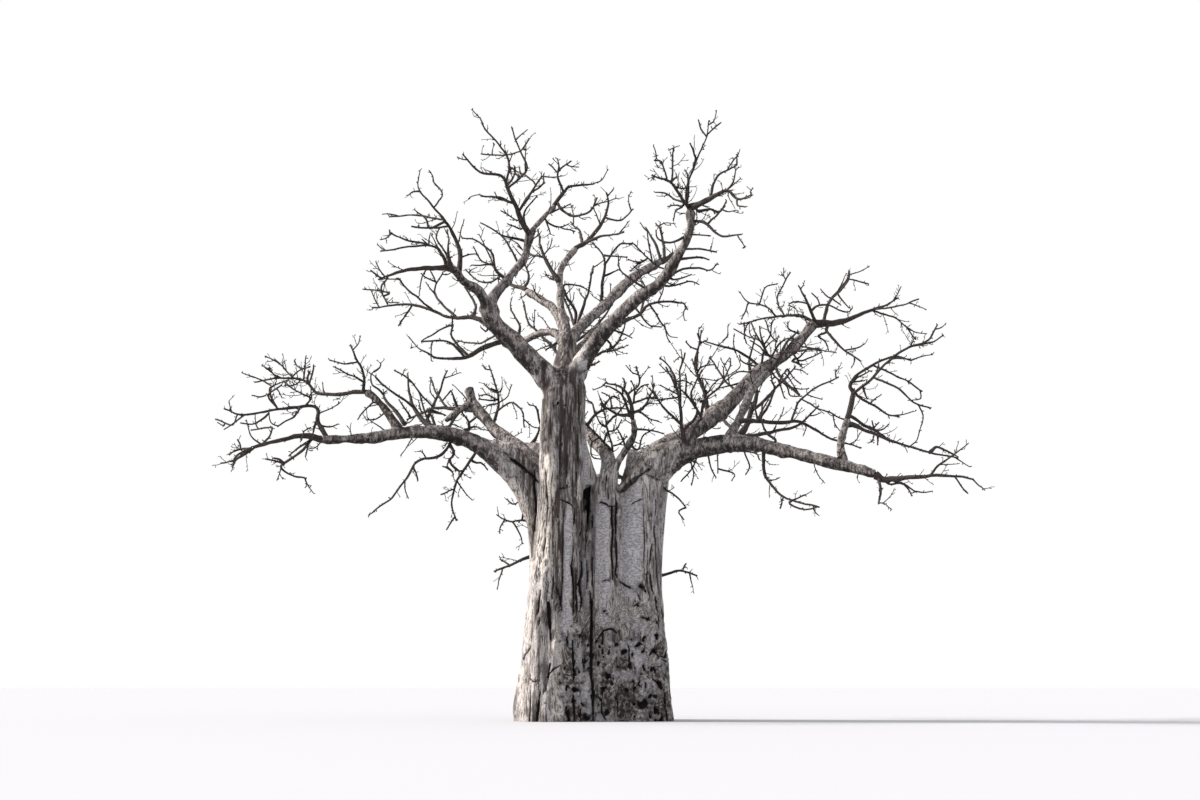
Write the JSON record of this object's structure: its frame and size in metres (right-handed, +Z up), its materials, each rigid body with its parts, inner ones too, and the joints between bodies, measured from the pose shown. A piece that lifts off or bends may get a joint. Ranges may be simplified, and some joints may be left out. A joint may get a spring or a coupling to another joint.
{
  "type": "bare baobab tree",
  "caption": "Leafless old baobab: a broad trunk of fused, fluted stems, long tapering boughs and a crown of bare crooked twigs.",
  "frame": {"origin": "middle of the flat cut under the trunk, at ground level", "axes": "+Z up the trunk; +X along the widest spread of the crown, to the right in the picture; +Y away from the picture's camera"},
  "size_m": [22.0536, 13.6197, 17.9231],
  "materials": {
    "trunk_bark": "smooth grey bark with flutes, folds and dark cracks",
    "bough_bark": "grey-brown bark with scars and knobs",
    "twigs": "matt dark twigs"
  },
  "bodies": {
    "root": {"trunk": "trunk_bark", "left_bough": "bough_bark", "left_rise": "bough_bark", "broken_bough": "bough_bark", "broken_stub": "bough_bark", "upper_left_bough": "bough_bark", "upper_left_fork": "bough_bark", "upper_left_rise": "bough_bark", "upper_left_arm": "bough_bark", "central_stem": "bough_bark", "central_rise": "bough_bark", "central_left_limb": "bough_bark", "central_low_limb": "bough_bark", "inner_right_bough": "bough_bark", "inner_low_bough": "bough_bark", "right_crown_bough": "bough_bark", "notch_limb": "bough_bark", "notch_bough": "bough_bark", "right_bough": "bough_bark", "right_bough_outer": "bough_bark", "right_upright": "bough_bark", "high_right_bough": "bough_bark", "right_inner_limb": "bough_bark", "back_left_bough": "bough_bark", "back_right_bough": "bough_bark", "left_tip_twigs": "twigs", "left_arch_twigs": "twigs", "left_level_twigs": "twigs", "left_inner_twigs": "twigs", "broken_bough_twigs": "twigs", "left_hanging_twigs": "twigs", "left_low_twigs": "twigs", "trunk_left_twigs": "twigs", "upper_left_low_twigs": "twigs", "upper_left_rod_twigs": "twigs", "upper_left_top_twigs": "twigs", "upper_left_arm_twigs": "twigs", "knuckle_twigs": "twigs", "under_knuckle_twigs": "twigs", "central_top_twigs": "twigs", "central_link_twigs": "twigs", "central_left_twigs": "twigs", "central_low_twigs": "twigs", "inner_right_twigs": "twigs", "inner_low_twigs": "twigs", "right_crown_twigs": "twigs", "right_crown_side_twigs": "twigs", "notch_twigs": "twigs", "notch_bough_twigs": "twigs", "right_shrub_twigs": "twigs", "high_right_shrub_twigs": "twigs", "right_tip_twigs": "twigs", "right_upright_twigs": "twigs", "right_hanging_twigs": "twigs", "high_right_twigs": "twigs", "right_tangle_twigs": "twigs", "right_middle_twigs": "twigs", "trunk_right_twigs": "twigs", "back_left_twigs": "twigs", "back_right_twigs": "twigs"}
  },
  "joints": []
}
